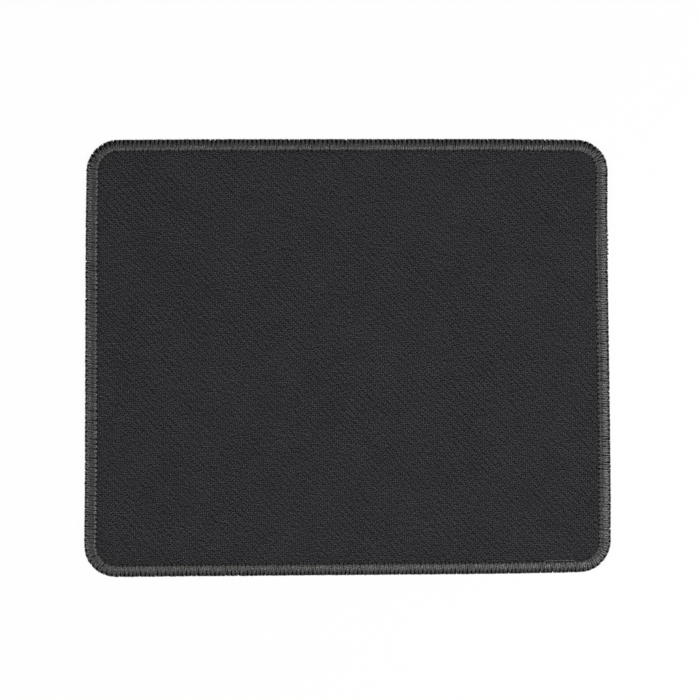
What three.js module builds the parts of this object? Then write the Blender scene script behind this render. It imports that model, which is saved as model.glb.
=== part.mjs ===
// Cloth mouse pad with an overlocked edge. Millimetres, +Z up.
// The origin is the middle of the underside, on the desk. +X runs along the long side, +Y away from the user.
// A cloth is bonded to foam rubber by a film of adhesive, and three sewing threads bind the cut edge:
// a needle thread along the inside of the hem, and two looper threads, one over each face of the hem,
// whose loops lock together along the edge.

import * as THREE from "three";

// Overall size, over the stitching
const PAD_WIDTH = 240;
const PAD_DEPTH = 200;
const CORNER_RADIUS = 14.5;

// Layers, from the desk up
const RUBBER_THICKNESS = 2.4;
const FILM_THICKNESS = 0.1;
const CLOTH_THICKNESS = 0.5;

// The layers where the seam squeezes them
const RUBBER_RIM_THICKNESS = 1.4; // under the stitches
const RUBBER_EDGE_THICKNESS = 0.6; // at the cut edge, which the thread draws round
const NOSE_RUN = 1.9; // width of the strip that is drawn round along the cut edge
const DIP_RUN = 1.2; // width of the slope from the seam up to the flat of the pad
const HEM_LIFT = 0.12; // underside of the hem, above the desk

// Overlock seam
const HEM_WIDTH = 5.5; // from the outermost thread to the needle line
const STITCH_PITCH = 2.1;
const STITCH_SLANT = 1.7; // a loop's outer end lies this far ahead of its inner end
const LOOP_THICKNESS = 0.55;
const LOOP_RELIEF = 0.22; // depth of the groove between two loops
const LOOP_SHOULDER = 0.1; // widest point of a loop, beyond the corner of the cut edge
const LOOP_INTERLOCK = 0.3; // reach of a loop's tip past the locking line
const NEEDLE_THREAD_DIAMETER = 0.3;
const THREAD_CLEARANCE = 0.06;

// Where the end of the seam runs over its start, on the right-hand side
const OVERLAP_MIDDLE = 49; // along +Y
const OVERLAP_LENGTH = 15;
const OVERLAP_RISE = 0.25;

// Fineness of the round stretches
const CORNER_STEPS = 6;
const NEEDLE_THREAD_SIDES = 6;

// Distances inwards from the outermost thread
const CUT_INSET = LOOP_THICKNESS + THREAD_CLEARANCE;
const NOSE_INSET = CUT_INSET + NOSE_RUN;
const NEEDLE_INSET = HEM_WIDTH + THREAD_CLEARANCE + NEEDLE_THREAD_DIAMETER / 2;
const SEAM_INSET = HEM_WIDTH + 2 * THREAD_CLEARANCE + NEEDLE_THREAD_DIAMETER;
const FLAT_INSET = SEAM_INSET + DIP_RUN;

// Heights
const RIM_UNDERSIDE = HEM_LIFT + LOOP_THICKNESS + THREAD_CLEARANCE;
const NOSE_DROP = (RUBBER_RIM_THICKNESS - RUBBER_EDGE_THICKNESS) / 2;
const CLOTH_UNDERSIDE = RUBBER_THICKNESS + FILM_THICKNESS;
const PAD_THICKNESS = CLOTH_UNDERSIDE + CLOTH_THICKNESS;
const RIM_DIP = RUBBER_THICKNESS - RUBBER_RIM_THICKNESS - RIM_UNDERSIDE;
const RIM_TOP = PAD_THICKNESS - RIM_DIP;
const LOCK_HEIGHT = (RIM_UNDERSIDE + RIM_TOP) / 2;

// The outermost line of the seam. Travel along it starts at the near end of the right-hand side, anticlockwise.
const STRAIGHT_X = PAD_WIDTH - 2 * CORNER_RADIUS;
const STRAIGHT_Y = PAD_DEPTH - 2 * CORNER_RADIUS;
const CORNER_ARC = (CORNER_RADIUS * Math.PI) / 2;
const PERIMETER = 2 * (STRAIGHT_X + STRAIGHT_Y) + 4 * CORNER_ARC;
const OVERLAP_TRAVEL = STRAIGHT_Y / 2 + OVERLAP_MIDDLE;

// The marks at which a plain ring has its points: round the corners only.
const CORNER_MARKS = [];
[STRAIGHT_Y, STRAIGHT_X, STRAIGHT_Y, STRAIGHT_X].reduce((travel, straight) => {
  for (let step = 0; step <= CORNER_STEPS; step++) {
    CORNER_MARKS.push(travel + straight + (CORNER_ARC * step) / CORNER_STEPS);
  }
  return travel + straight + CORNER_ARC;
}, 0);

// The marks of the looper threads: the middle of a loop and the groove after it, in turn.
const LOOP_MARKS = [];
const HALF_STITCHES = 2 * Math.round(PERIMETER / STITCH_PITCH);
for (let half = 0; half < HALF_STITCHES; half++) {
  LOOP_MARKS.push((PERIMETER * half) / HALF_STITCHES);
}

// A point of the rim, an inset inwards from the outermost line and square to it.
// An inside corner is never sharper than the needle thread.
function rimPoint(travel, inset, height) {
  const radius = Math.max(CORNER_RADIUS - inset, NEEDLE_THREAD_DIAMETER);
  const centreX = PAD_WIDTH / 2 - inset - radius;
  const centreY = PAD_DEPTH / 2 - inset - radius;
  let rest = THREE.MathUtils.euclideanModulo(travel, PERIMETER);
  let side = 0;
  while (rest > (side % 2 ? STRAIGHT_X : STRAIGHT_Y) + CORNER_ARC) {
    rest -= (side % 2 ? STRAIGHT_X : STRAIGHT_Y) + CORNER_ARC;
    side++;
  }
  const [straight, reach, half] = side % 2 ? [STRAIGHT_X, centreY, centreX] : [STRAIGHT_Y, centreX, centreY];
  const facing = (side * Math.PI) / 2;
  const turn = Math.max(rest - straight, 0) / CORNER_RADIUS;
  const along = half * (2 * Math.min(rest / straight, 1) - 1);
  const point = new THREE.Vector3(reach + radius * Math.cos(turn), along + radius * Math.sin(turn), height);
  return point.applyAxisAngle(new THREE.Vector3(0, 0, 1), facing);
}

// A ring is a list of points round the pad, each with the mark at which it is joined to the next ring.
function plainRing(inset, height) {
  return CORNER_MARKS.map((mark) => ({ mark, point: rimPoint(mark, inset, height) }));
}

// The triangles of the strip between two rings, stepping along whichever ring lags behind.
function strip(near, far) {
  const nextMark = (ring, step) => (step + 1 < ring.length ? ring[step + 1].mark : ring[0].mark + PERIMETER);
  const corners = [];
  let i = 0;
  let j = 0;
  while (i < near.length || j < far.length) {
    const here = near[i % near.length].point;
    const there = far[j % far.length].point;
    const nearLags = j === far.length || (i < near.length && nextMark(near, i) <= nextMark(far, j));
    if (nearLags) {
      i++;
      corners.push(here, near[i % near.length].point, there);
    } else {
      j++;
      corners.push(here, far[j % far.length].point, there);
    }
  }
  return corners;
}

// The triangles of a flat face bounded by a ring, facing up.
function flatFace(ring) {
  const outline = ring.map(({ point }) => new THREE.Vector2(point.x, point.y));
  const faces = THREE.ShapeUtils.triangulateShape(outline, []);
  return faces.flat().map((corner) => ring[corner].point);
}

function solidFrom(corners) {
  const geometry = new THREE.BufferGeometry().setFromPoints(corners);
  geometry.computeVertexNormals();
  return geometry;
}

// A sheet between two faces, each a list of rings from the flat of the pad out to the cut edge.
function sheet(lowerFace, upperFace) {
  const rings = [...lowerFace, ...upperFace.toReversed()];
  const corners = rings.slice(1).flatMap((ring, k) => strip(rings[k], ring));
  return solidFrom([...corners, ...flatFace(rings[0]).toReversed(), ...flatFace(rings.at(-1))]);
}

// A band round the rim, whose section goes from its lower side over the outside to its upper side.
function band(rings) {
  return solidFrom(rings.flatMap((ring, k) => strip(rings.at(k - 1), ring)));
}

function faceRings(flatHeight, rimHeight, edgeHeight) {
  return [
    plainRing(FLAT_INSET, flatHeight),
    plainRing(SEAM_INSET, rimHeight),
    plainRing(NOSE_INSET, rimHeight),
    plainRing(CUT_INSET, edgeHeight),
  ];
}

// The underside of the pad, and the upper face of a layer that is so high on the flat of the pad.
const underside = faceRings(0, RIM_UNDERSIDE, RIM_UNDERSIDE + NOSE_DROP);
const upperFace = (height) => faceRings(height, height - RIM_DIP, height - RIM_DIP - NOSE_DROP);

// Extra thread where the seam runs over its start, fading in and out over one stitch.
function overlapRise(mark) {
  const inside = OVERLAP_LENGTH / 2 - Math.abs(mark - OVERLAP_TRAVEL);
  return OVERLAP_RISE * THREE.MathUtils.clamp(inside / STITCH_PITCH, 0, 1);
}

// One looper thread. Its loops lie side by side from the needle line over the rim to the edge, one slanted rib
// each, and each tip locks into the groove between two loops of the other thread.
// Up is 1 for the thread on the top face and -1 for the one underneath.
function looperThread(up) {
  const seat = up > 0 ? RIM_TOP : RIM_UNDERSIDE;
  const rimFace = seat + up * THREAD_CLEARANCE;
  const edgeFace = rimFace - up * NOSE_DROP;
  const evenSign = (k) => (k % 2 ? -1 : 1);
  const relief = (k) => (evenSign(k) === up ? 0 : LOOP_RELIEF);
  const loopRing = (insetAt, heightAt) =>
    LOOP_MARKS.map((mark, k) => {
      const inset = insetAt(k, overlapRise(mark));
      const travel = mark - (STITCH_SLANT * inset) / HEM_WIDTH;
      return { mark, point: rimPoint(travel, inset, heightAt(k, overlapRise(mark))) };
    });
  const needleEnd = loopRing(
    () => HEM_WIDTH,
    () => rimFace,
  );
  const crown = loopRing(
    () => NOSE_INSET,
    (k, rise) => rimFace + up * (LOOP_THICKNESS - relief(k)) + Math.max(up, 0) * rise,
  );
  const shoulder = loopRing(
    (k, rise) => relief(k) - rise,
    () => edgeFace + up * LOOP_SHOULDER,
  );
  const tip = loopRing(
    () => LOOP_THICKNESS / 2,
    (k) => LOCK_HEIGHT + up * THREAD_CLEARANCE - evenSign(k) * LOOP_INTERLOCK,
  );
  const overEdge = plainRing(LOOP_THICKNESS, edgeFace);
  const overRim = plainRing(NOSE_INSET, rimFace);
  const section = [overRim, overEdge, tip, shoulder, crown, needleEnd];
  return band(up > 0 ? section : section.reverse());
}

// The needle thread lies in the dip along the inside of the hem.
function needleThread() {
  const radius = NEEDLE_THREAD_DIAMETER / 2;
  const height = RIM_TOP + THREAD_CLEARANCE + radius;
  const rings = [];
  for (let side = 0; side < NEEDLE_THREAD_SIDES; side++) {
    const turn = (side * 2 * Math.PI) / NEEDLE_THREAD_SIDES;
    rings.push(plainRing(NEEDLE_INSET - radius * Math.cos(turn), height + radius * Math.sin(turn)));
  }
  return band(rings);
}

const mousePad = new THREE.Group();

function addPiece(name, geometry, color, roughness) {
  const piece = new THREE.Mesh(geometry, new THREE.MeshStandardMaterial({ color, roughness, metalness: 0 }));
  piece.name = name;
  mousePad.add(piece);
}

addPiece("rubber_base", sheet(underside, upperFace(RUBBER_THICKNESS)), 0x1d1d1e, 0.9);
addPiece("bond_film", sheet(upperFace(RUBBER_THICKNESS), upperFace(CLOTH_UNDERSIDE)), 0xb9b6ad, 0.5);
addPiece("top_cloth", sheet(upperFace(CLOTH_UNDERSIDE), upperFace(PAD_THICKNESS)), 0x2e2e30, 0.95);
addPiece("needle_thread", needleThread(), 0x4c4b4a, 0.8);
addPiece("upper_looper_thread", looperThread(1), 0x454443, 0.85);
addPiece("lower_looper_thread", looperThread(-1), 0x454443, 0.85);

export default mousePad;
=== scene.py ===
import math

import bpy
import numpy as np
from mathutils import Matrix, Vector


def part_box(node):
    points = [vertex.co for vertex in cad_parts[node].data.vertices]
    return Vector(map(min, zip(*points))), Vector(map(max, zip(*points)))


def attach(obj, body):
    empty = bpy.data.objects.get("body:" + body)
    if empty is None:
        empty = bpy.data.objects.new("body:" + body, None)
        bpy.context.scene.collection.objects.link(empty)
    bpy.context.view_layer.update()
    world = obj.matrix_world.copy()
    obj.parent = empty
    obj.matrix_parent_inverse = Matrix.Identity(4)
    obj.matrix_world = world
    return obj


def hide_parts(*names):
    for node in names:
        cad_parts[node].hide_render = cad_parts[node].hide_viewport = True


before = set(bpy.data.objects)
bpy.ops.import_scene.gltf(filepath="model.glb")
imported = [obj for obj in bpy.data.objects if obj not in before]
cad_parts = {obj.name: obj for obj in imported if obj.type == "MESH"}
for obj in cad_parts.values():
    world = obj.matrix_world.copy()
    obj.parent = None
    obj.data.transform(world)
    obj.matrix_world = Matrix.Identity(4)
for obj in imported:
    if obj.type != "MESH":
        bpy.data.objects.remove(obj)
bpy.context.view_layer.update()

# Cloth mouse pad with an overlocked edge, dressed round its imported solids.
# The surfaces are worked out in millimetres and become metres when a mesh is made.

mm = 0.001
chance = np.random.default_rng(11)


# The lower and upper corner of a solid in the frame, in millimetres
def solidBox(node):
    low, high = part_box(node)
    return np.array(low) / mm, np.array(high) / mm


rubberLow, rubberHigh = solidBox("rubber_base")
clothLow, clothHigh = solidBox("top_cloth")
needleLow, needleHigh = solidBox("needle_thread")
looperLow, _ = solidBox("upper_looper_thread")

# What the solids don't give by their boxes: radii, runs and squeezed levels
rim = {
    "cornerRadius": 14.5,
    "cornerRamp": 2.0,    # from a straight into a corner, for what differs there
    "noseRun": 1.9,       # strip along the cut edge that the thread draws round
    "noseDrop": 0.4,
    "nosePower": 1.6,     # 1 is a straight fall to the cut edge, more is rounder
    "dip": 0.27,          # the cloth under the stitches, below the flat of the pad
    "dipRun": 1.2,
    "hemRise": 0.73,      # the rubber under the stitches, above the desk
    "threadRoom": 0.06,   # clearance between thread and layers
    "seamEnd": 56.5,      # along +Y on the right-hand side, where the seam's end lies on its start
    "lapLength": 15.0,
    "plainRings": (1.5, 6.5),    # insets of the extra rings of points on a plain face
    "plainGrid": 6.0,            # and the step of its grid
}

needleThickness = needleHigh[2] - needleLow[2]
halfWidth = -looperLow[0]
halfDepth = -looperLow[1]
cutInset = halfWidth + rubberLow[0]
noseInset = cutInset + rim["noseRun"]
needleInset = halfWidth - (needleHigh[0] - needleThickness / 2)
seamInset = needleInset + needleThickness / 2 + rim["threadRoom"]
flatInset = seamInset + rim["dipRun"]
clothTop = clothHigh[2]
rubberTop = rubberHigh[2]
filmThickness = clothLow[2] - (rubberTop - rim["dip"] - rim["noseDrop"])
rimTop = clothTop - rim["dip"]
lockHeight = (rimTop + rim["hemRise"]) / 2

# The outline starts at the near end of the right-hand side and runs anticlockwise.
# What differs by side is listed in that order too: right, far, left, near.
straightX = 2 * (halfWidth - rim["cornerRadius"])
straightY = 2 * (halfDepth - rim["cornerRadius"])
cornerArc = rim["cornerRadius"] * math.pi / 2
sideRuns = np.array([straightY, straightX, straightY, straightX])
sideStarts = np.concatenate([[0], np.cumsum(sideRuns + cornerArc)[:-1]])
outline = float(np.sum(sideRuns + cornerArc))
sideCorners = np.array([[1, -1], [1, 1], [-1, 1], [-1, -1]]) * [straightX / 2, straightY / 2]
sideWays = np.array([[0, 1], [-1, 0], [0, -1], [1, 0]])
sideKnots = np.sort(np.concatenate([sideStarts, sideStarts + sideRuns, [outline]]))
print("outline", round(outline, 1), "mm, needle line", round(needleInset, 2), "mm in")


# The side that each travel along the outline lies on, and how far along that side it is
def sideAlong(travel):
    rest = np.mod(travel, outline)
    side = np.searchsorted(sideStarts, rest, side="right") - 1
    return side, rest - sideStarts[side]


# Foot on the inner rectangle (on an arc, the corner's centre) and outward direction at each travel
def rimFrame(travel):
    side, along = sideAlong(travel)
    turn = np.clip(along - sideRuns[side], 0, None) / rim["cornerRadius"] + side * math.pi / 2
    foot = sideCorners[side] + sideWays[side] * np.minimum(along, sideRuns[side])[:, None]
    outward = np.stack([np.cos(turn), np.sin(turn)], axis=1)
    return foot, outward


# A rim point: foot + outward direction x (corner radius - inset), at a height
def rimPoint(travel, inset, height):
    foot, outward = rimFrame(travel)
    flat = foot + outward * (rim["cornerRadius"] - inset)[:, None]
    return np.column_stack([flat, height])


# x squared x (3 - 2x), held at 0 below 0 and at 1 above 1
def smoothStep(x):
    x = np.clip(x, 0, 1)
    return x * x * (3 - 2 * x)


def blend(share, low, high):
    return low + (high - low) * share


# 1 on the corner arcs, 0 on the straights, with a short ramp between
def cornerShare(travel):
    side, along = sideAlong(travel)
    past = along - sideRuns[side]
    return smoothStep(past / rim["cornerRamp"]) * smoothStep((cornerArc - past) / rim["cornerRamp"])


# A value for each of the four sides, blended along the corners
def bySide(values, travel):
    knots = [value for value in values for _ in range(2)] + [values[0]]
    return np.interp(np.mod(travel, outline), sideKnots, knots)


# Values drawn at every half stitch, joined by straight lines
def wander(stitch, spread):
    half = 0.5
    marks = np.arange(np.floor(stitch.min()) - 1, np.ceil(stitch.max()) + 1 + half, half)
    return np.interp(stitch, marks, chance.normal(0, spread, len(marks)))


# How far each corner of this pad is out of true, in millimetres
outOfTrue = {
    "corners": [(1, 1), (-1, 1), (-1, -1), (1, -1)],
    "shifts": [(0.75, -0.45), (0.4, -0.3), (-0.25, 0.0), (-0.6, 0.6)],
    "reach": 31.0,
}


# Each point moves by the four shifts, each times exp(-(distance from that corner / reach) squared)
def give(points):
    flat = points[:, :2].copy()
    for corner, shift in zip(outOfTrue["corners"], outOfTrue["shifts"]):
        away = points[:, :2] - np.array(corner) * [halfWidth, halfDepth]
        share = np.exp(-np.sum(away ** 2, axis=1) / outOfTrue["reach"] ** 2)
        flat += share[:, None] * np.array(shift)
    return np.column_stack([flat, points[:, 2]])


# A smooth mesh, in metres, with its own UV map if one is given
def putMesh(name, points, faces, uv=None):
    mesh = bpy.data.meshes.new(name)
    mesh.from_pydata((points * mm).tolist(), [], faces)
    mesh.polygons.foreach_set("use_smooth", np.ones(len(mesh.polygons), bool))
    if uv is not None:
        layer = mesh.uv_layers.new(name="threadRun")
        layer.data.foreach_set("uv", np.asarray(uv, np.float32).ravel())
    mesh.update()
    piece = bpy.data.objects.new(name, mesh)
    bpy.context.scene.collection.objects.link(piece)
    return piece


# Triangles between two closed rings, walking both in the order of their marks
def zipRings(nearIds, nearMarks, farIds, farMarks):
    order = np.argsort(np.concatenate([nearMarks, farMarks]), kind="stable")
    nearStep = order < len(nearIds)
    near = np.cumsum(nearStep) - 1
    far = np.cumsum(~nearStep) - 1
    nearTurn = [nearIds[near - 1], nearIds[near % len(nearIds)], farIds[far]]
    farTurn = [farIds[far], farIds[far - 1], nearIds[near]]
    return np.where(nearStep, nearTurn, farTurn).T


# One face of a layer: rings from the cut edge inwards, then a grid on the inner rectangle.
# Heights come from the inset by `level`, and `relief` is added at every point.
def layFace(insets, travel, gridStep, level, relief):
    ringCount = len(travel)
    ringTravel = np.tile(travel, len(insets))
    ringInset = np.repeat(insets, ringCount)
    rings = rimPoint(ringTravel, ringInset, level(ringInset))
    columns = int(round(straightX / gridStep))
    rows = int(round(straightY / gridStep))
    x, y = np.meshgrid(np.linspace(-0.5, 0.5, columns + 1) * straightX,
                       np.linspace(-0.5, 0.5, rows + 1) * straightY)
    gridInset = np.full(x.size, rim["cornerRadius"])
    grid = np.column_stack([x.ravel(), y.ravel(), level(gridInset)])
    points = np.vstack([rings, grid])
    allTravel = np.append(ringTravel, np.zeros(x.size))
    points[:, 2] += relief(points, allTravel, np.append(ringInset, gridInset))

    ids = np.arange(len(rings)).reshape(len(insets), ringCount)
    after = np.roll(ids, -1, axis=1)
    quads = np.stack([ids[:-1], after[:-1], after[1:], ids[1:]], axis=-1).reshape(-1, 4)
    cell = np.arange(x.size).reshape(rows + 1, columns + 1) + len(rings)
    cells = np.stack([cell[:-1, :-1], cell[:-1, 1:], cell[1:, 1:], cell[1:, :-1]], axis=-1)

    # the grid's border, side by side, each side from just past its corner
    border = [cell[1:, -1], cell[-1, -2::-1], cell[-2::-1, 0], cell[0, 1:]]
    marks = []
    for start, run, ring in zip(sideStarts, sideRuns, border):
        places = start + run * np.arange(1, len(ring) + 1) / len(ring)
        places[-1] += cornerArc / 2            # a corner takes the middle of its arc
        marks.append(places)
    joined = zipRings(ids[-1], travel, np.concatenate(border), np.concatenate(marks))
    faces = quads.tolist() + cells.reshape(-1, 4).tolist() + joined.tolist()
    return points, faces, (ids[0], travel)


# A closed layer: an upper face, a lower face turned over, and the cut edge between them
def layer(name, upper, lower):
    upperPoints, upperFaces, (upperRing, upperMarks) = upper
    lowerPoints, lowerFaces, (lowerRing, lowerMarks) = lower
    shift = len(upperPoints)
    turned = [[corner + shift for corner in reversed(face)] for face in lowerFaces]
    edge = zipRings(lowerRing + shift, lowerMarks, upperRing, upperMarks).tolist()
    return putMesh(name, give(np.vstack([upperPoints, lowerPoints])), upperFaces + turned + edge)


# Height of a layer's face over the inset: flat, plus a step taken by a smooth slope to the seam,
# plus a drop taken by a power of the way from the nose to the cut edge
def faceLevel(flat, step, drop):
    def level(inset):
        slope = smoothStep((inset - seamInset) / (flatInset - seamInset))
        nose = np.clip((noseInset - inset) / (noseInset - cutInset), 0, 1)
        return flat + step * (1 - slope) + drop * nose ** rim["nosePower"]
    return level


# Level of a face that dips under the stitches and drops at the nose, from the height of its flat
def upperLevel(flat):
    return faceLevel(flat, -rim["dip"], -rim["noseDrop"])


# Insets of a face's rings: its edge, the nose, the seam and the flat, with others among them
def ringInsets(edge, others):
    return np.sort(np.concatenate([[edge, noseInset, seamInset, flatInset], others]))


def plain(points, travel, inset):
    return np.zeros(len(points))


# Stitch counting: how far along the outline each stitch lies, counted from where the seam starts
stitches = {
    "pitches": (2.14, 2.04, 2.14, 1.85),      # on each side
    "cornerPitch": 1.3,    # times as long on the outside of a corner
    "tableSize": 6001,     # places along the outline where stitches are counted
    "slants": (-0.15, -0.1, -0.27, -0.1),     # in stitches, outer ends ahead of inner ends, on each side
    "lapSlant": 0.5,
    "hookHalf": 0.10,      # half the width of a hook at the lock, in stitches, and of one from below
    "underHookHalf": 0.15,
    "bendHalves": (0.245, 0.2, 0.245, 0.2),   # half the distance of its legs past the gap, on each side
    "turnHalf": 0.31,      # and where they start to turn
    "turnTimes": (0.35, 0.42, 0.46, 0.5),
    "turnShares": (0.0, 0.12, 0.44, 1.0),
    "loopTimes": (0, 0.06, 0.12, 0.2, 0.3, 0.38, 0.44, 0.5, 0.56, 0.62, 0.7, 0.8, 0.88, 0.94),
    "sides": 6,
    "flatness": 0.78,      # of a thread's section: 1 is an oval, less is boxier
}


# Length of a stitch at each travel
def pitchAt(travel):
    longer = 1 + (stitches["cornerPitch"] - 1) * cornerShare(travel)
    return bySide(stitches["pitches"], travel) * longer


rightPitch = stitches["pitches"][0]
seamStart = straightY / 2 + rim["seamEnd"] - rim["lapLength"]
seamTable = seamStart + np.linspace(0, outline, stitches["tableSize"])
seamPitch = pitchAt(seamTable)
seamCount = np.concatenate([[0], np.cumsum(np.diff(seamTable) / seamPitch[:-1])])
stitchTotal = int(round(seamCount[-1]))
seamCount *= stitchTotal / seamCount[-1]
lapStitches = int(round(rim["lapLength"] / rightPitch))
print("stitches", stitchTotal, "with a lap of", lapStitches)


# Travel of a stitch, which may be a fraction or lie past the first round
def stitchTravel(stitch):
    turns = np.floor(stitch / stitchTotal)
    return np.interp(stitch - turns * stitchTotal, seamCount, seamTable) + turns * outline


def travelStitch(travel):
    return np.interp(np.mod(travel - seamStart, outline) + seamStart, seamTable, seamCount)


# Places along the outline, so many for each stitch
def stitchMarks(perStitch):
    return np.sort(np.mod(stitchTravel(np.arange(stitchTotal * perStitch) / perStitch), outline))


# A tube with a flattened section: each path point carries a ring in the plane of its side and normal vectors,
# side x width x cos(turn) + normal x thickness x sin(turn), with both waves raised to a power
def threadTube(name, path, normal, halfWide, halfThick, sides, closed):
    if closed:
        ahead = np.roll(path, -1, axis=0) - np.roll(path, 1, axis=0)
    else:
        ahead = np.gradient(path, axis=0)
    ahead /= np.linalg.norm(ahead, axis=1)[:, None]
    side = np.cross(ahead, normal)
    side /= np.linalg.norm(side, axis=1)[:, None]
    normal = np.cross(side, ahead)
    count = len(path)
    turn = (np.arange(sides) + 0.5) * 2 * math.pi / sides - math.pi / 2
    ringSide = np.sign(np.cos(turn)) * np.abs(np.cos(turn)) ** stitches["flatness"]
    ringUp = np.sign(np.sin(turn)) * np.abs(np.sin(turn)) ** stitches["flatness"]
    ring = (side[:, None] * (halfWide[:, None] * ringSide)[..., None]
            + normal[:, None] * (halfThick[:, None] * ringUp)[..., None])
    points = (path[:, None] + ring).reshape(-1, 3)
    run = np.concatenate([[0], np.cumsum(np.linalg.norm(np.diff(path, axis=0), axis=1))])
    ids = np.arange(count * sides).reshape(count, sides)
    if closed:
        ids = np.vstack([ids, ids[:1]])
        run = np.append(run, run[-1] + np.linalg.norm(path[0] - path[-1]))
    turned = np.roll(ids, -1, axis=1)
    quads = np.stack([ids[:-1], ids[1:], turned[1:], turned[:-1]], axis=-1).reshape(-1, 4)
    across = np.arange(sides + 1) / sides
    u = np.stack([run[:-1], run[1:], run[1:], run[:-1]], axis=-1)
    v = np.stack([across[:-1], across[:-1], across[1:], across[1:]], axis=-1)
    uv = np.stack(np.broadcast_arrays(u[:, None], v[None]), axis=-1).reshape(-1, 2)
    faces = quads.tolist()
    if not closed:                                   # round off both ends with a point
        first, last = len(points), len(points) + 1
        tips = [path[0] - ahead[0] * halfThick[0], path[-1] + ahead[-1] * halfThick[-1]]
        points = np.vstack([points, tips])
        start = np.column_stack([ids[0], turned[0], np.full(sides, first)])
        end = np.column_stack([turned[-1], ids[-1], np.full(sides, last)])
        faces += start.tolist() + end.tolist()
        startUv = np.tile([[run[0], 0.5]], (3 * sides, 1))
        endUv = np.tile([[run[-1], 0.5]], (3 * sides, 1))
        uv = np.vstack([uv, startUv, endUv])
    return putMesh(name, give(points), faces, uv)


# Needle thread and looper threads
needle = {
    "halfWide": 0.22,
    "halfThick": 0.16,
    "lean": (0.6, 0.8),    # its broad side faces inwards and up
    "inset": 4.3,          # it lies across the loops, outside their turns
    "insetSway": 0.05,
    "height": 3.08,
    "bulge": 0.06,         # higher in the middle of a stitch
    "loopHeight": 0.5,     # its turn underneath, round the lower looper thread
    "lead": 0.05,          # its holes lie ahead of the stitch count, in stitches
    "leadSway": 0.03,
    "plunge": 0.2,         # share of a stitch's path spent in each pass through the layers
    "plungePower": 1.3,
    "passGap": 0.06,       # half the distance between the two passes in one hole, in stitches
    "steps": 12,
    "sides": 6,
    "lapInset": 0.3,
    "lapLead": 0.4,
    "slackFrom": 88.0,     # along the near side, where the thread has slipped inwards
    "slackTo": 104.0,
    "slackRamp": 2.0,
    "slackInset": 1.3,
    "slackWide": 1.45,
    "slackSink": 0.12,
    "slackRise": 1.0,      # there its turn stays inside the rubber
}

looper = {
    "crownInset": 3.4,     # the highest line of the hem, in from the edge
    "crownRise": 0.36,     # the middle of the thread there, above the cloth
    "squareness": 2.05,    # of the quarter ovals over the edge
    "ovalSteps": 40,
    "tipInset": 5.15,      # where the loops turn back, just inside the needle line
    "tipShifts": (0.45, 0.4, 0.4, 0.12),      # further in, on each side
    "shiftFrom": 2.0,      # the shift grows from here in
    "shiftRun": 3.0,
    "tipFall": 0.42,       # a turn lies this far below the crown
    "fallSteps": 24,
    "gapReaches": (0.95, 1.5, 0.8, 1.4),      # how far in the gaps beside the hooks reach, on each side
    "cornerGaps": (0.0, 0.6, 0.5, 0.0),       # and further at the corners
    "gapClose": 0.35,
    "fanFrom": 1.5,        # from here in, the legs of a hook draw apart, each towards its turn
    "hookRound": 0.06,     # share of a stitch spent in the round of a hook
    "lockInset": 0.24,     # the two threads hook into each other here, on the outer slope
    "lockReach": 0.15,
    "lockSway": 0.11,      # one leg of a hook lies outside the other thread, the next inside
    "lockShare": 0.12,
    "legWidth": 0.66,      # half widths of a flattened leg, of a turn and at the lock
    "turnWidth": 0.52,
    "turnFrom": 0.85,      # share of the way in where a leg narrows to its turn
    "lockWidth": 0.26,
    "underLockWidth": 0.42,
    "legThickness": 0.21,  # half thicknesses
    "turnThickness": 0.22,
    "lockThickness": 0.22,
    "dent": 0.06,          # pressed in by the needle thread
    "dentReach": 0.4,
    "sway": 0.07,          # unevenness of place in stitches, of reach, height and width
    "reachSway": 0.012,
    "lift": 0.05,
    "widthSway": 0.12,
    "lapRamp": 2.0,        # stitches over which the end of the seam climbs onto its start
    "lapRise": 0.36,
    "lapSink": 0.7,        # share of that rise lost at the turns
}


# Section of the hem along the middle of the thread: a fall to the turns, two quarter ovals round the edge
# and the same fall underneath. Gives a table over its length from the upper turn: length, inset, height
# and the two parts of the outward vector.
def hemSection():
    half = looper["lockThickness"]
    crown = rimTop + looper["crownRise"]
    theta = np.linspace(math.pi / 2, 0, looper["ovalSteps"])
    power = 2 / looper["squareness"]
    fall = np.linspace(1, 0, looper["fallSteps"])[:-1]
    ovalInset = looper["crownInset"] - (looper["crownInset"] - half) * np.cos(theta) ** power
    ovalHeight = lockHeight + (crown - lockHeight) * np.sin(theta) ** power
    fallInset = looper["crownInset"] + (looper["tipInset"] - looper["crownInset"]) * fall
    dent = looper["dent"] * np.exp(-((fallInset - needle["inset"]) / looper["dentReach"]) ** 2)
    inset = np.concatenate([fallInset, ovalInset])
    height = np.concatenate([crown - looper["tipFall"] * fall ** 3 - dent, ovalHeight])
    inset = np.concatenate([inset, inset[-2::-1]])
    height = np.concatenate([height, 2 * lockHeight - height[-2::-1]])
    run = np.concatenate([[0], np.cumsum(np.hypot(np.diff(inset), np.diff(height)))])
    slopeInset, slopeHeight = np.gradient(inset, run), np.gradient(height, run)
    length = np.hypot(slopeInset, slopeHeight)
    return run, inset, height, slopeHeight / length, -slopeInset / length


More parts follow.
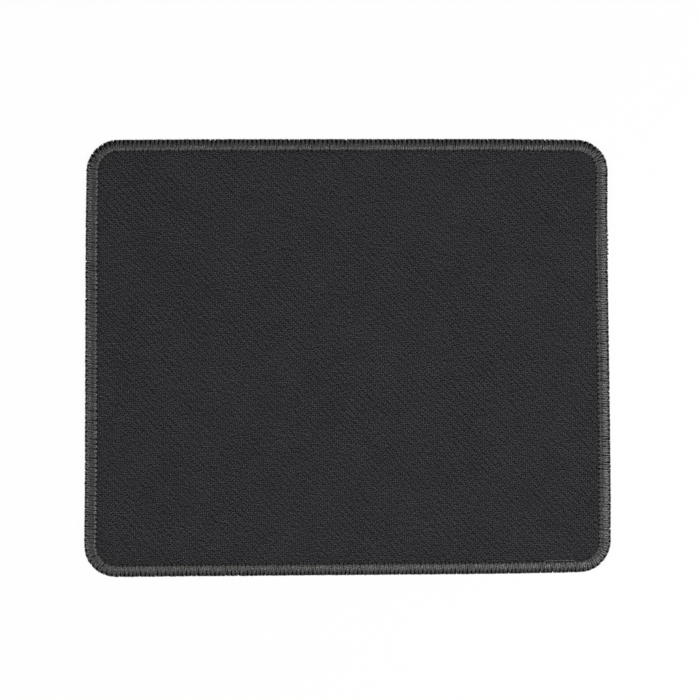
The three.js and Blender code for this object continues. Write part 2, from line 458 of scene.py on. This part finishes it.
# A looper thread: one long tube that runs in and out between the lock and its turns once per stitch.
# Share of the way = (1 - cos)/2 of the stitch phase. The two legs of a hook lie close together, bend apart
# past the gap, fan out on the way in, and each meets a leg of the next hook in the turn.
def looperThread(name, up):
    laps = lapStitches if up > 0 else 0
    stitch = np.add.outer(np.arange(stitchTotal + laps), stitches["loopTimes"]).ravel()
    phase = stitch if up > 0 else stitch + 0.5
    share = 0.5 - 0.5 * np.cos(2 * math.pi * stitch)
    lap = smoothStep((stitch - stitchTotal) / looper["lapRamp"]) if laps else np.zeros(len(stitch))
    table, *columns = hemSection()
    upper = len(table) // 2
    lock = np.interp(-looper["lockInset"], -columns[0][:upper], table[:upper])
    start = lock + up * looper["lockReach"]
    finish = 0 if up > 0 else table[-1]
    run = start + (finish - start) * np.clip(share * (1 + wander(stitch, looper["reachSway"])), 0, 1)
    inset, height, outIn, outUp = (np.interp(run, table, column) for column in columns)

    part = stitch - np.round(stitch)
    away = np.abs(part)
    near = stitchTravel(phase)
    gap = bySide(looper["gapReaches"], near) + bySide(looper["cornerGaps"], near) * cornerShare(near)
    spread = smoothStep((inset - gap) / looper["gapClose"])
    hook = stitches["hookHalf"] if up > 0 else stitches["underHookHalf"]
    bend = bySide(stitches["bendHalves"], near)
    leg = hook * smoothStep(away / looper["hookRound"]) + (bend - hook) * spread
    fan = np.clip((inset - looper["fanFrom"]) / (looper["tipInset"] - looper["fanFrom"]), 0, 1)
    leg += (stitches["turnHalf"] - bend) * fan
    leg = blend(np.interp(away, stitches["turnTimes"], stitches["turnShares"]), leg, 0.5)
    place = phase - part + np.sign(part) * leg
    place += (bySide(stitches["slants"], near) + stitches["lapSlant"] * lap) * (1 - share)
    place += wander(stitch, looper["sway"]) * (1 + lap)
    travel = stitchTravel(place)

    raised = lap * looper["lapRise"] * (1 - looper["lapSink"] * share) + wander(stitch, looper["lift"])
    raised = np.maximum(raised, -looper["lift"])
    atLock = np.exp(-(share / looper["lockShare"]) ** 2)
    raised += looper["lockSway"] * np.sin(2 * math.pi * stitch) * atLock
    shifted = smoothStep((inset - looper["shiftFrom"]) / looper["shiftRun"])
    inset = inset + bySide(looper["tipShifts"], travel) * shifted + raised * outIn
    height = height + raised * outUp
    path = rimPoint(travel, inset, height)
    _, outward = rimFrame(travel)
    normal = np.column_stack([-outward * outIn[:, None], outUp])

    pitch = pitchAt(travel) / rightPitch
    crowd = 1 - cornerShare(travel) * np.clip(inset, 0, None) / rim["cornerRadius"]
    turning = smoothStep((share - looper["turnFrom"]) / (1 - looper["turnFrom"]))
    lockWidth = looper["lockWidth"] if up > 0 else looper["underLockWidth"]
    wide = blend(spread, lockWidth, looper["legWidth"] * pitch * crowd)
    wide = blend(turning, wide, looper["turnWidth"] * pitch) * (1 + wander(stitch, looper["widthSway"]))
    thick = blend(spread, looper["lockThickness"], looper["legThickness"])
    thick = blend(turning, thick, looper["turnThickness"])
    piece = threadTube(name, path, normal, wide, thick, stitches["sides"], closed=not laps)
    print(name, len(piece.data.polygons), "faces")
    return piece


# The needle thread: straight over the top from hole to hole, and down and up again through each hole.
# Height = top - (top - bottom) x a smooth step of the way down.
def needleThread(name):
    steps = needle["steps"]
    count = (stitchTotal + lapStitches) * steps + 1
    phase = np.arange(count) / steps
    hole = np.floor(phase)
    part = phase - hole
    dive = needle["plunge"]
    onTop = np.clip((part - dive) / (1 - 2 * dive), 0, 1)
    place = hole + needle["passGap"] + (1 - 2 * needle["passGap"]) * onTop
    down = 1 - np.clip(np.minimum(part, 1 - part) / dive, 0, 1)
    lap = smoothStep(phase - stitchTotal)
    place += needle["lead"] + wander(hole, needle["leadSway"]) + needle["lapLead"] * lap
    travel = stitchTravel(place)
    nearAlong = np.mod(travel, outline) - sideStarts[3] - straightX / 2
    slack = smoothStep((nearAlong - needle["slackFrom"]) / needle["slackRamp"])
    slack *= smoothStep((needle["slackTo"] - nearAlong) / needle["slackRamp"])
    inset = needle["inset"] + bySide(looper["tipShifts"], travel)
    inset += needle["lapInset"] * lap + needle["slackInset"] * slack
    inset += wander(hole, needle["insetSway"])
    top = needle["height"] + needle["bulge"] * np.sin(math.pi * onTop) - needle["slackSink"] * slack
    bottom = needle["loopHeight"] + needle["slackRise"] * slack
    height = top - (top - bottom) * smoothStep(down ** needle["plungePower"])
    path = rimPoint(travel, inset, height)
    _, outward = rimFrame(travel)
    inward, upward = needle["lean"]
    normal = np.column_stack([-outward * inward, np.full(count, upward)])
    wide = needle["halfWide"] * blend(slack, 1.0, needle["slackWide"])
    thick = np.full(count, needle["halfThick"])
    piece = threadTube(name, path, normal, wide, thick, needle["sides"], closed=False)
    print(name, len(piece.data.polygons), "faces")
    return piece


# Cloth
cloth = {
    "ringsPerStitch": 4,
    "rings": (1.2, 1.9, 3.4, 4.1, 4.6, 5.1, 5.5, 6.2, 6.5, 6.8, 7.6, 8.4),    # insets of its extra rings
    "gridStep": 2.6,
    "groove": 0.10,        # drawn down along the turns of the loops
    "grooveInset": 5.1,
    "grooveReach": 0.75,
    "hole": 0.35,          # needle holes between the turns
    "holeReach": 0.4,
    "edgeDraw": 0.34,      # the edge, drawn down by the hooks
    "edgeReach": 2.2,
    "edgeShade": 0.5,      # less than 1 spreads the painted shade of the edge inwards
}


# 1 at a needle hole: the top of a squared cosine of the stitch phase, fading away from the needle line
def needleHoles(travel, inset):
    wave = np.clip(np.cos(2 * math.pi * travelStitch(travel)), 0, 1) ** 2
    middle = cloth["grooveInset"] + bySide(looper["tipShifts"], travel)
    return wave * np.exp(-((inset - middle) / cloth["holeReach"]) ** 2)


# 0 on the flat of the pad, 1 at the cut edge, by a smooth step
def towardsEdge(inset):
    return smoothStep((cloth["edgeReach"] - inset) / (cloth["edgeReach"] - cutInset))


# Relief: a groove under the turns, the needle holes, and a smooth fall towards the cut edge
def pullIn(points, travel, inset):
    groove = cloth["groove"] * np.exp(-((inset - cloth["grooveInset"]) / cloth["grooveReach"]) ** 2)
    return -groove - cloth["edgeDraw"] * towardsEdge(inset) - cloth["hole"] * needleHoles(travel, inset)


# The upper face carries the relief, and the attribute holeShade is 1 where the cloth is drawn down
def topCloth():
    marks = stitchMarks(cloth["ringsPerStitch"])
    upperInsets = ringInsets(cutInset, cloth["rings"])
    lowerInsets = ringInsets(cutInset, rim["plainRings"])
    upper = layFace(upperInsets, marks, cloth["gridStep"], upperLevel(clothTop), pullIn)
    lower = layFace(lowerInsets, stitchMarks(1), cloth["gridStep"] * 2,
                    upperLevel(rubberTop + filmThickness), plain)
    piece = layer("cloth_sheet", upper, lower)
    shade = piece.data.attributes.new("holeShade", "FLOAT", "POINT")
    ringTravel = np.tile(marks, len(upperInsets))
    ringInset = np.repeat(upperInsets, len(marks))
    # painted shade: 1 in the needle holes and at the cut edge, where the hooks shade the cloth
    edge = towardsEdge(ringInset) ** cloth["edgeShade"]
    paintedShade = np.zeros(len(piece.data.vertices))
    paintedShade[:len(ringTravel)] = np.maximum(needleHoles(ringTravel, ringInset), edge)
    shade.data.foreach_set("value", paintedShade.astype(np.float32))
    print("cloth_sheet", len(piece.data.polygons), "faces")
    return piece


# Adhesive film
film = {
    "back": 0.3,           # from the cut edge
}


# A film between cloth and rubber, as thick as its solid
def bondFilm():
    insets = ringInsets(cutInset + film["back"], rim["plainRings"])
    marks = stitchMarks(1)
    upper = layFace(insets, marks, rim["plainGrid"], upperLevel(rubberTop + filmThickness), plain)
    lower = layFace(insets, marks, rim["plainGrid"], upperLevel(rubberTop), plain)
    piece = layer("glue_film", upper, lower)
    print("glue_film", len(piece.data.polygons), "faces")
    return piece


# Rubber base
rubber = {
    "studPitch": 4.2,      # diagonal rows of low studs on the underside
    "studHeight": 0.22,
    "studFade": 1.0,       # strip inside the seam over which they grow
    "gridStep": 0.76,
    "ringStep": 0.75,
    "ringRoom": 0.4,       # between the last ring and the grid
    "hemRings": (1.5, 6.3, 6.7),
}


# Studs: two crossed cosines, their tops on the desk, fading out towards the seam
def studs(points, travel, inset):
    along = 2 * math.pi / rubber["studPitch"]
    x, y = along * points[:, 0], along * points[:, 1]
    wave = 0.5 + 0.25 * (np.cos(x + y) + np.cos(x - y))
    inner = smoothStep((inset - flatInset) / rubber["studFade"])
    return rubber["studHeight"] * (1 - wave) * inner


# A plain upper face, and a lower face with studs that is fine enough to carry them
def rubberBase():
    step = rubber["ringStep"]
    flatRings = np.arange(flatInset, rim["cornerRadius"] - rubber["ringRoom"], step)[1:]
    upperInsets = ringInsets(cutInset, rim["plainRings"])
    lowerInsets = ringInsets(cutInset, np.append(rubber["hemRings"], flatRings))
    around = np.arange(0, outline - step / 2, step)
    lowerLevel = faceLevel(0.0, rim["hemRise"], rim["noseDrop"])
    upper = layFace(upperInsets, stitchMarks(1), rim["plainGrid"], upperLevel(rubberTop), plain)
    lower = layFace(lowerInsets, around, rubber["gridStep"], lowerLevel, studs)
    piece = layer("foam_rubber", upper, lower)
    print("foam_rubber", len(piece.data.polygons), "faces")
    return piece


clothPiece = topCloth()
filmPiece = bondFilm()
rubberPiece = rubberBase()
upperPiece = looperThread("upper_loops", 1)
lowerPiece = looperThread("lower_loops", -1)
needlePiece = needleThread("needle_stitches")


# Node helpers
def calc(tree, operation, *values):
    node = tree.nodes.new("ShaderNodeMath")
    node.operation = operation
    for socket, value in zip(node.inputs, values):
        if isinstance(value, (int, float)):
            socket.default_value = value
        else:
            tree.links.new(value, socket)
    return node.outputs[0]


def blendValue(tree, share, low, high):
    lower = calc(tree, "MULTIPLY", calc(tree, "SUBTRACT", 1.0, share), low)
    return calc(tree, "ADD", calc(tree, "MULTIPLY", share, high), lower)


def newGroup(name, inputs, outputs):
    tree = bpy.data.node_groups.new(name, "ShaderNodeTree")
    for label, kind, value in inputs:
        socket = tree.interface.new_socket(label, in_out="INPUT", socket_type=kind)
        if value is not None:
            socket.default_value = value
    for label, kind in outputs:
        tree.interface.new_socket(label, in_out="OUTPUT", socket_type=kind)
    return tree, tree.nodes.new("NodeGroupInput").outputs, tree.nodes.new("NodeGroupOutput").inputs


def noise(tree, vector, scale, detail=2.0, roughness=0.5):
    node = tree.nodes.new("ShaderNodeTexNoise")
    node.inputs["Detail"].default_value = detail
    node.inputs["Roughness"].default_value = roughness
    if isinstance(scale, (int, float)):
        node.inputs["Scale"].default_value = scale
    else:
        tree.links.new(scale, node.inputs["Scale"])
    tree.links.new(vector, node.inputs["Vector"])
    return node.outputs["Fac"]


def splitVector(tree, vector):
    split = tree.nodes.new("ShaderNodeSeparateXYZ")
    tree.links.new(vector, split.inputs[0])
    return split.outputs["X"], split.outputs["Y"]


def joinVector(tree, x, y):
    joined = tree.nodes.new("ShaderNodeCombineXYZ")
    tree.links.new(x, joined.inputs[0])
    tree.links.new(y, joined.inputs[1])
    return joined.outputs[0]


def useGroup(tree, group, vector, **values):
    node = tree.nodes.new("ShaderNodeGroup")
    node.node_tree = group
    tree.links.new(vector, node.inputs["Vector"])
    for label, value in values.items():
        node.inputs[label].default_value = value
    return node.outputs


# Tufts of fibre, for cloth and thread
tufts = {
    "fray": 1.65,          # noise waves per cell, for ragged edges
    "side": 0.2,           # painted shadow: how much of a tuft's tone its neighbours lose, beside it and askew
    "askew": 0.3,
    "middle": 0.5,         # tone of a tuft that is neither light nor dark
}


# One random draw for each cell of the vector, about 0, less a share of the draws of its neighbours, as a
# painted shadow that each tuft casts beside it.
# The cells' edges are pushed to and fro by a noise.
def frayedGrainAndShadow():
    tree, given, result = newGroup(
        "frayedGrainAndShadow",
        [("Vector", "NodeSocketVector", None)],
        [("Value", "NodeSocketFloat")])
    x, y = splitVector(tree, given["Vector"])
    ragged = calc(tree, "SUBTRACT", noise(tree, given["Vector"], tufts["fray"], roughness=0.6), 0.5)
    column = calc(tree, "FLOOR", calc(tree, "ADD", x, ragged))
    row = calc(tree, "FLOOR", calc(tree, "SUBTRACT", y, ragged))

    # the draw of the cell so many columns and rows away, times a factor
    def draw(columns, rows, factor):
        cell = joinVector(tree, calc(tree, "ADD", column, columns), calc(tree, "ADD", row, rows))
        white = tree.nodes.new("ShaderNodeTexWhiteNoise")
        tree.links.new(cell, white.inputs["Vector"])
        return calc(tree, "MULTIPLY", calc(tree, "SUBTRACT", white.outputs["Value"], 0.5), factor)

    value = draw(0.0, 0.0, 1.0)
    # painted shadow: each cell loses a share of its neighbours' draws
    neighbours = [(1.0, 0.0, "side"), (0.0, 1.0, "side"), (1.0, 1.0, "askew"), (-1.0, 1.0, "askew")]
    for columns, rows, where in neighbours:
        value = calc(tree, "ADD", value, draw(columns, rows, -tufts[where]))
    tree.links.new(value, result["Value"])
    return tree


# Uneven dye: slow patches of lighter and darker tone, as a factor about 1
def unevenDye():
    tree, given, result = newGroup(
        "unevenDye",
        [("Vector", "NodeSocketVector", None),
         ("Scale", "NodeSocketFloat", 30.0),
         ("Amount", "NodeSocketFloat", 0.2)],
        [("Factor", "NodeSocketFloat")])
    patch = noise(tree, given["Vector"], given["Scale"], detail=3.0, roughness=0.6)
    swing = calc(tree, "MULTIPLY", calc(tree, "SUBTRACT", patch, 0.5), given["Amount"])
    tree.links.new(calc(tree, "ADD", 1.0, swing), result["Factor"])
    return tree


grainAndShadowGroup = frayedGrainAndShadow()
dyeGroup = unevenDye()


# Weave of the cloth: pitches and grain in millimetres, the rest as shares of the painted light on a yarn
weave = {
    "warpPitch": 0.8545,
    "weftPitch": 0.948,
    "skew": 0.0393,        # the cross yarns run a little downhill to the right
    "stray": 1.2,          # how far the yarns wander, in yarns, and in how many waves per metre
    "strayWaves": (150.0, 130.0),
    "repeat": 4.0,         # over three cross yarns and under the fourth
    "gap": 0.38,           # painted shade: what is left between two upright yarns
    "rib": 0.32,           # painted shade: what is lost between two cross yarns
    "dive": 0.78,          # painted shade: what is lost where a yarn dives, and how far from the middle of its float
    "diveFrom": 1.55,
    "zoneWaves": 24.0,     # zones of deeper and shallower painted shade in the dives, in waves per metre
    "zoneSwing": 1.0,
    "crestHighlight": -0.1,         # painted highlight: what is gained in the middle of a float, and how far from there
    "crestRun": 0.9,
    "grain": 0.96,
    "darkest": 0.14,       # no fibre is darker than this
    "grainWidth": 0.3,
    "grainLength": 0.5,
}


# Three-and-one twill: upright yarns that pass over three cross yarns and dive under the fourth, each yarn
# one row on from its neighbour. Its tone is painted light on the yarns, brightest along their middles, with
# painted shade between them and in the dives, times a grain for the fibres, and Height is the round of the
# yarns.
def twillWeave():
    tree, given, result = newGroup(
        "twillWeave",
        [("Vector", "NodeSocketVector", None)],
        [("ToneAndPaintedLight", "NodeSocketFloat"), ("Height", "NodeSocketFloat")])
    across, upward = splitVector(tree, given["Vector"])
    strayAcross, strayUp = (noise(tree, given["Vector"], waves, detail=1.0) for waves in weave["strayWaves"])
    skewed = calc(tree, "MULTIPLY_ADD", across, weave["skew"], upward)
    x = calc(tree, "DIVIDE", across, weave["warpPitch"] * mm)
    y = calc(tree, "DIVIDE", skewed, weave["weftPitch"] * mm)
    x = calc(tree, "MULTIPLY_ADD", strayAcross, weave["stray"], x)
    y = calc(tree, "MULTIPLY_ADD", strayUp, weave["stray"], y)

    # 1 on the middle line of a yarn, 0 at its edge
    def roundOf(value):
        edge = calc(tree, "MULTIPLY_ADD", calc(tree, "FRACT", value), 2.0, -1.0)
        return calc(tree, "SUBTRACT", 1.0, calc(tree, "POWER", calc(tree, "ABSOLUTE", edge), 2.0))

    # from 1 at low to 1 + amount at high
    def swell(value, low, high, amount):
        node = tree.nodes.new("ShaderNodeMapRange")
        node.interpolation_type = "SMOOTHSTEP"
        node.inputs["From Min"].default_value = low
        node.inputs["From Max"].default_value = high
        tree.links.new(value, node.inputs["Value"])
        return calc(tree, "ADD", 1.0, calc(tree, "MULTIPLY", node.outputs["Result"], amount))

    halfRepeat = weave["repeat"] / 2
    order = calc(tree, "FLOORED_MODULO", calc(tree, "ADD", calc(tree, "FLOOR", x), y), weave["repeat"])
    fromMiddle = calc(tree, "ABSOLUTE", calc(tree, "SUBTRACT", order, halfRepeat))
    zone = noise(tree, given["Vector"], weave["zoneWaves"], detail=1.0)
    zone = calc(tree, "MULTIPLY_ADD", zone, weave["zoneSwing"], 1.0 - weave["zoneSwing"] / 2)
    dive = swell(fromMiddle, weave["diveFrom"], halfRepeat, calc(tree, "MULTIPLY", zone, -weave["dive"]))
    crestHighlight = swell(fromMiddle, weave["crestRun"], 0.0, weave["crestHighlight"])
    warp = blendValue(tree, roundOf(x), weave["gap"], 1.0)
    weft = blendValue(tree, roundOf(y), 1.0 - weave["rib"], 1.0)
    # painted light: shade between the yarns and in the dives, times the highlight at the crests
    shape = calc(tree, "MULTIPLY", calc(tree, "MULTIPLY", warp, weft), calc(tree, "MULTIPLY", dive, crestHighlight))
    cells = joinVector(
        tree,
        calc(tree, "DIVIDE", across, weave["grainWidth"] * mm),
        calc(tree, "DIVIDE", upward, weave["grainLength"] * mm))
    tuft = useGroup(tree, grainAndShadowGroup, cells)["Value"]
    grain = calc(tree, "MULTIPLY_ADD", tuft, weave["grain"], tufts["middle"])
    grain = calc(tree, "MAXIMUM", grain, weave["darkest"])
    tree.links.new(calc(tree, "MULTIPLY", shape, grain), result["ToneAndPaintedLight"])
    tree.links.new(shape, result["Height"])
    return tree


# Fibres along a thread
fibres = {
    "tuftLength": 0.42,    # along the thread, in millimetres
    "tuftTurn": 7.0,       # tufts round the thread
    "tuftTone": 1.4,
    "plyShade": 0.35,       # painted shade: what is lost between the plies
    "plyHeight": 0.6,
    "streakTurn": 14.0,    # streaks round the thread
    "streakRun": 0.5,      # streaks per millimetre of run
    "streakHeight": 0.6,
}


# Tone and painted light: tufts of fibre, each with a painted shadow beside it, and painted shade between the
# two plies that twist round each other.
# Height: the plies, and streaks drawn out along the run.
def twistedFibre():
    tree, given, result = newGroup(
        "twistedFibre",
        [("Vector", "NodeSocketVector", None), ("Lay", "NodeSocketFloat", 1.6)],
        [("ToneAndPaintedLight", "NodeSocketFloat"), ("Height", "NodeSocketFloat")])
    run, turn = splitVector(tree, given["Vector"])
    twist = calc(tree, "ADD", turn, calc(tree, "DIVIDE", run, given["Lay"]))
    ply = calc(tree, "ABSOLUTE", calc(tree, "SINE", calc(tree, "MULTIPLY", twist, math.pi * 2)))

    # run and twist as a vector, in so many units per millimetre and per turn
    def drawn(perRun, perTurn):
        return joinVector(tree, calc(tree, "MULTIPLY", run, perRun), calc(tree, "MULTIPLY", twist, perTurn))

    tuft = useGroup(tree, grainAndShadowGroup, drawn(1 / fibres["tuftLength"], fibres["tuftTurn"]))["Value"]
    clump = calc(tree, "MULTIPLY_ADD", tuft, fibres["tuftTone"], tufts["middle"])
    clump = calc(tree, "MAXIMUM", clump, 0.0)
    plyLight = calc(tree, "MULTIPLY_ADD", ply, fibres["plyShade"], 1.0 - fibres["plyShade"])
    streak = noise(tree, drawn(fibres["streakRun"], fibres["streakTurn"]), 1.0, detail=3.0, roughness=0.65)
    streak = calc(tree, "MULTIPLY", streak, fibres["streakHeight"])
    tree.links.new(calc(tree, "MULTIPLY", clump, plyLight), result["ToneAndPaintedLight"])
    tree.links.new(calc(tree, "MULTIPLY_ADD", ply, fibres["plyHeight"], streak), result["Height"])
    return tree


fibreGroup = twistedFibre()


# Finishes. In each look: two tones, dye patches (waves per metre and amount), a bump (metres and strength)
# and a roughness (at no tone, and its change with the tone).
def newMaterial(name):
    material = bpy.data.materials.new(name)
    material.use_nodes = True
    tree = material.node_tree
    shader = tree.nodes["Principled BSDF"]
    coords = tree.nodes.new("ShaderNodeTexCoord")
    return material, tree, shader, coords.outputs


def dyeFrom(tree, coords, look):
    waves, amount = look["dye"]
    return useGroup(tree, dyeGroup, coords["Object"], Scale=waves, Amount=amount)["Factor"]


# Base colour: a mix of two tones, times a factor
def tintFrom(tree, shader, share, look, factor):
    mix = tree.nodes.new("ShaderNodeMix")
    mix.data_type = "RGBA"
    mix.inputs[6].default_value = (*look["dark"], 1)
    mix.inputs[7].default_value = (*look["light"], 1)
    tree.links.new(share, mix.inputs[0])
    scale = tree.nodes.new("ShaderNodeVectorMath")
    scale.operation = "SCALE"
    tree.links.new(mix.outputs[2], scale.inputs[0])
    tree.links.new(factor, scale.inputs["Scale"])
    tree.links.new(scale.outputs[0], shader.inputs["Base Color"])


def bumpFrom(tree, shader, height, look):
    bump = tree.nodes.new("ShaderNodeBump")
    distance, strength = look["bump"]
    bump.inputs["Distance"].default_value = distance
    bump.inputs["Strength"].default_value = strength
    tree.links.new(height, bump.inputs["Height"])
    tree.links.new(bump.outputs[0], shader.inputs["Normal"])


def roughFrom(tree, shader, tone, look):
    base, change = look["rough"]
    tree.links.new(calc(tree, "MULTIPLY_ADD", tone, change, base), shader.inputs["Roughness"])


clothLook = {
    "dark": (0.0005, 0.0005, 0.0006),
    "light": (0.089, 0.0887, 0.0959),
    "dye": (80.0, 0.36),
    "holes": 0.8,          # painted shade: how much of the tone is lost in a needle hole and at the cut edge
    "bump": (0.00008, 0.4),
    "rough": (0.95, -0.1),
    "specular": 0.03,
}


def blackTwill():
    material, tree, shader, coords = newMaterial("black_twill")
    yarns = useGroup(tree, twillWeave(), coords["Object"])
    # painted shade: the cloth is darkened where its attribute marks the needle holes and the cut edge
    hole = tree.nodes.new("ShaderNodeAttribute")
    hole.attribute_name = "holeShade"
    afterPaintedShade = calc(tree, "MULTIPLY_ADD", hole.outputs["Fac"], -clothLook["holes"], 1.0)
    factor = calc(tree, "MULTIPLY", dyeFrom(tree, coords, clothLook), afterPaintedShade)
    tintFrom(tree, shader, yarns["ToneAndPaintedLight"], clothLook, factor)
    bumpFrom(tree, shader, yarns["Height"], clothLook)
    roughFrom(tree, shader, yarns["ToneAndPaintedLight"], clothLook)
    shader.inputs["Specular IOR Level"].default_value = clothLook["specular"]
    return material


# The needle thread is painted lighter, a painted highlight for the shine of its twisted fibres, and is more
# tightly twisted: its lay is the run of one turn, in millimetres
looperLook = {
    "dark": (0.002, 0.002, 0.002),
    "light": (0.058, 0.0565, 0.0555),
    "lay": 5.0,
    "dye": (700.0, 1.2),
    "bump": (0.00015, 0.9),
    "rough": (0.53, -0.22),
    "specular": 0.8,
}
needleHighlightLook = {
    **looperLook,
    "dark": (0.006, 0.006, 0.006),
    # painted highlight: three times the looper thread's tones
    "light": (0.174, 0.1695, 0.1665),
    "lay": 1.2,
}


def greyThread(name, look):
    material, tree, shader, coords = newMaterial(name)
    fibre = useGroup(tree, fibreGroup, coords["UV"], Lay=look["lay"])
    tintFrom(tree, shader, fibre["ToneAndPaintedLight"], look, dyeFrom(tree, coords, look))
    bumpFrom(tree, shader, fibre["Height"], look)
    roughFrom(tree, shader, fibre["ToneAndPaintedLight"], look)
    shader.inputs["Specular IOR Level"].default_value = look["specular"]
    return material


rubberLook = {
    "dark": (0.007, 0.007, 0.0075),
    "light": (0.017, 0.017, 0.0175),
    "grainWaves": 2600.0,
    "dye": (22.0, 0.3),
    "bump": (0.0001, 0.5),
    "rough": (0.72, 0.2),
}


def foamRubber():
    material, tree, shader, coords = newMaterial("foam_rubber_black")
    grain = noise(tree, coords["Object"], rubberLook["grainWaves"], detail=3.0, roughness=0.7)
    tintFrom(tree, shader, grain, rubberLook, dyeFrom(tree, coords, rubberLook))
    bumpFrom(tree, shader, grain, rubberLook)
    roughFrom(tree, shader, grain, rubberLook)
    return material


filmLook = {
    "dark": (0.40, 0.38, 0.35),
    "light": (0.56, 0.54, 0.50),
    "webWaves": 700.0,
    "dye": (40.0, 0.2),
    "bump": (0.00005, 0.4),
    "rough": (0.35, 0.2),
}


def milkyFilm():
    material, tree, shader, coords = newMaterial("milky_film")
    web = noise(tree, coords["Object"], filmLook["webWaves"])
    tintFrom(tree, shader, web, filmLook, dyeFrom(tree, coords, filmLook))
    bumpFrom(tree, shader, web, filmLook)
    roughFrom(tree, shader, web, filmLook)
    return material


looperGrey = greyThread("looper_grey", looperLook)
needleHighlightGrey = greyThread("needle_grey_painted_highlight", needleHighlightLook)

# Each piece: its node in the frame, its slot, its finish
dressing = [
    (clothPiece, "top_cloth", "cloth", blackTwill()),
    (filmPiece, "bond_film", "film", milkyFilm()),
    (rubberPiece, "rubber_base", "rubber", foamRubber()),
    (upperPiece, "upper_looper_thread", "thread", looperGrey),
    (lowerPiece, "lower_looper_thread", "thread", looperGrey),
    (needlePiece, "needle_thread", "thread", needleHighlightGrey),
]
for piece, node, slotName, finish in dressing:
    piece.data.materials.append(finish)
    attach(piece, "root")
    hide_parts(node)

print("pieces dressed")

# Floor and room
studio = {
    "floorSize": 8.0,      # metres
    "floorDrop": 0.02,     # millimetres below the pad
    "floorTone": 0.95,
    "floorShare": 0.93,    # share of the plain white in what the camera sees of the floor
    "world": 0.18,
}


# 1 for rays that come from the camera, a mirror or glass
def seenDirectly(tree):
    path = tree.nodes.new("ShaderNodeLightPath").outputs
    return calc(tree, "MAXIMUM", path["Is Camera Ray"],
                calc(tree, "MAXIMUM", path["Is Glossy Ray"], path["Is Transmission Ray"]))


# A plain pale surface that shows white to the camera and keeps the pad's shadow
def whiteFloor():
    half = studio["floorSize"] / 2 / mm
    corners = np.array([[-half, -half], [half, -half], [half, half], [-half, half]])
    level = np.full(len(corners), -studio["floorDrop"])
    floor = putMesh("floor", np.column_stack([corners, level]), [[0, 1, 2, 3]])
    material = bpy.data.materials.new("floor_white")
    material.use_nodes = True
    tree = material.node_tree
    tree.nodes.clear()
    matte = tree.nodes.new("ShaderNodeBsdfDiffuse")
    matte.inputs["Color"].default_value = (*[studio["floorTone"]] * 3, 1)
    glow = tree.nodes.new("ShaderNodeEmission")
    mix = tree.nodes.new("ShaderNodeMixShader")
    tree.links.new(calc(tree, "MULTIPLY", seenDirectly(tree), studio["floorShare"]), mix.inputs[0])
    tree.links.new(matte.outputs[0], mix.inputs[1])
    tree.links.new(glow.outputs[0], mix.inputs[2])
    tree.links.new(mix.outputs[0], tree.nodes.new("ShaderNodeOutputMaterial").inputs[0])
    floor.data.materials.append(material)


def paleWorld():
    world = bpy.data.worlds.new("pale_room")
    bpy.context.scene.world = world
    world.use_nodes = True
    back = world.node_tree.nodes["Background"]
    back.inputs["Color"].default_value = (1, 1, 1, 1)
    back.inputs["Strength"].default_value = studio["world"]


# Softboxes: place and size in metres, power in watts
softboxes = {
    "left_softbox": {"place": (-0.85, -0.17, 0.64), "size": (0.4, 0.4), "power": 4.1},
    "right_softbox": {"place": (0.7, -0.17, 0.84), "size": (0.4, 0.7), "power": 9.0},
    "overhead_softbox": {"place": (0.0, -0.25, 1.3), "size": (1.0, 1.0), "power": 0.6},
    "back_softbox": {"place": (0.1, 1.0, 0.3), "size": (0.5, 0.3), "power": 0.9},
}


# A softbox that faces the middle of the pad
def softbox(name, place, size, power):
    lamp = bpy.data.lights.new(name, "AREA")
    lamp.shape = "RECTANGLE"
    lamp.size, lamp.size_y = size
    lamp.energy = power
    box = bpy.data.objects.new(name, lamp)
    bpy.context.scene.collection.objects.link(box)
    box.location = place
    box.rotation_euler = (-Vector(place)).to_track_quat("-Z", "Y").to_euler()


whiteFloor()
paleWorld()
for name, setting in softboxes.items():
    softbox(name, **setting)

# Camera, almost straight over the pad and turned a little, as found from the pad's four sides
lens = {
    "length": 91.0,        # millimetres, as is the sensor
    "sensor": 36.0,
    "distance": 0.812,
    "target": (0.00088, 0.00263, 0.0),
    "azimuth": -25.8,
    "elevation": 86.25,
    "roll": 25.5,
}


# The camera stands at target + back x distance, where back is the direction of azimuth and elevation,
# and is rolled about that line
def placeCamera():
    azimuth, elevation, roll = (math.radians(lens[key]) for key in ("azimuth", "elevation", "roll"))
    level = math.cos(elevation)
    back = Vector((math.sin(azimuth) * level, -math.cos(azimuth) * level, math.sin(elevation)))
    right = Vector((0, 0, 1)).cross(back).normalized()
    upward = back.cross(right)
    turnedRight = right * math.cos(roll) + upward * math.sin(roll)
    turnedUp = upward * math.cos(roll) - right * math.sin(roll)
    data = bpy.data.cameras.new("photo_camera")
    data.lens = lens["length"]
    data.sensor_width = lens["sensor"]
    camera = bpy.data.objects.new("photo_camera", data)
    bpy.context.scene.collection.objects.link(camera)
    turn = Matrix((turnedRight, turnedUp, back)).transposed().to_4x4()
    camera.matrix_world = Matrix.Translation(Vector(lens["target"]) + back * lens["distance"]) @ turn
    bpy.context.scene.camera = camera


placeCamera()
bpy.context.scene.view_settings.view_transform = "Standard"
print("stage, light and camera set")
